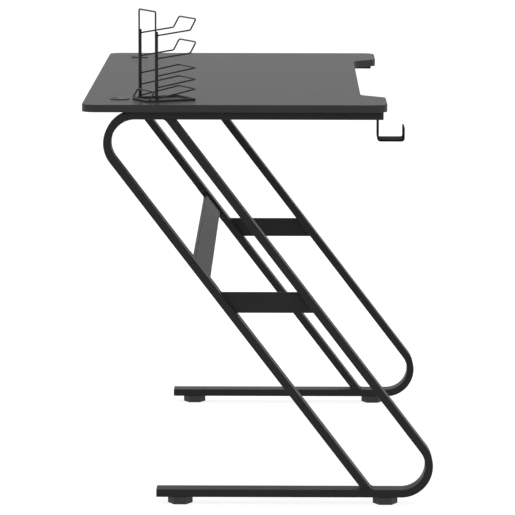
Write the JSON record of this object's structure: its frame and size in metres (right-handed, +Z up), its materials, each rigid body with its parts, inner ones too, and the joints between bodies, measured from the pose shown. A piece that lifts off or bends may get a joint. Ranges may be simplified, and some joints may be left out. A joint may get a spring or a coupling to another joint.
{
  "type": "gaming_desk",
  "caption": "Desk with a winged tabletop on two Z-shaped leg frames of flat bent tube, joined by a cross bar, with cable grommets, a headphone hook and a wire rack",
  "frame": {"origin": "middle of the outline seen from above, on the floor under the feet", "axes": "+X to the sitter's right, +Y away from the sitter to the back, +Z up; the sitter is on the -Y side"},
  "size_m": [1.1, 0.651, 0.9186],
  "materials": {
    "board": "wood-based panel faced with a dark grey, finely textured, slightly glossy laminate",
    "edging": "thin dark edging strip, satin",
    "frame_steel": "fine-textured black powder coat",
    "hook_steel": "fine-textured black powder coat on bent sheet",
    "black_steel": "black oxide on steel bolts",
    "zinc_steel": "bright zinc plate on fasteners",
    "black_plastic": "moulded black plastic, fine grain",
    "foot_plastic": "moulded black plastic pads",
    "rack_wire": "black powder coat on round wire"
  },
  "bodies": {
    "desk": {"tabletop": "board", "edge_band": "edging", "left_rear_tube": "frame_steel", "left_front_tube": "frame_steel", "right_rear_tube": "frame_steel", "right_front_tube": "frame_steel", "left_tie": "frame_steel", "right_tie": "frame_steel", "cross_bar": "frame_steel", "left_bar_plate": "frame_steel", "right_bar_plate": "frame_steel", "bar_bolts": "black_steel", "bar_nuts": "black_steel", "left_rail_cap": "black_plastic", "right_rail_cap": "black_plastic", "left_base_cap": "black_plastic", "right_base_cap": "black_plastic", "foot_nuts": "zinc_steel", "rail_screws": "zinc_steel", "board_inserts": "zinc_steel", "headphone_hook": "hook_steel", "hook_screws": "zinc_steel", "left_grommet": "black_plastic", "right_grommet": "black_plastic"},
    "front_left_leveller": {"front_left_foot": "foot_plastic", "front_left_stud": "zinc_steel"},
    "front_right_leveller": {"front_right_foot": "foot_plastic", "front_right_stud": "zinc_steel"},
    "rear_left_leveller": {"rear_left_foot": "foot_plastic", "rear_left_stud": "zinc_steel"},
    "rear_right_leveller": {"rear_right_foot": "foot_plastic", "rear_right_stud": "zinc_steel"},
    "left_outlet": {"left_grommet_cap": "black_plastic"},
    "right_outlet": {"right_grommet_cap": "black_plastic"},
    "rack": {"rack_back_frame": "rack_wire", "rack_left_post": "rack_wire", "rack_right_post": "rack_wire", "rack_base": "rack_wire", "rack_brace": "rack_wire", "rack_upper_hook": "rack_wire", "rack_lower_hook": "rack_wire", "rack_top_shelf": "rack_wire", "rack_middle_shelf": "rack_wire", "rack_bottom_shelf": "rack_wire"}
  },
  "joints": [
    {"name": "front_left_level", "type": "slide", "parent": "desk", "child": "front_left_leveller", "axis": [0, 0, -1], "range_m": [0, 0.006]},
    {"name": "front_right_level", "type": "slide", "parent": "desk", "child": "front_right_leveller", "axis": [0, 0, -1], "range_m": [0, 0.006]},
    {"name": "rear_left_level", "type": "slide", "parent": "desk", "child": "rear_left_leveller", "axis": [0, 0, -1], "range_m": [0, 0.006]},
    {"name": "rear_right_level", "type": "slide", "parent": "desk", "child": "rear_right_leveller", "axis": [0, 0, -1], "range_m": [0, 0.006]},
    {"name": "left_outlet_turn", "type": "hinge", "parent": "desk", "child": "left_outlet", "pos_m": [-0.443, 0.2595, 0.751], "axis": [0, 0, 1], "continuous": true},
    {"name": "right_outlet_turn", "type": "hinge", "parent": "desk", "child": "right_outlet", "pos_m": [0.443, 0.2595, 0.751], "axis": [0, 0, 1], "continuous": true},
    {"name": "rack_lift", "type": "slide", "parent": "desk", "child": "rack", "axis": [0, 0, 1], "range_m": [0, 0.15]}
  ]
}
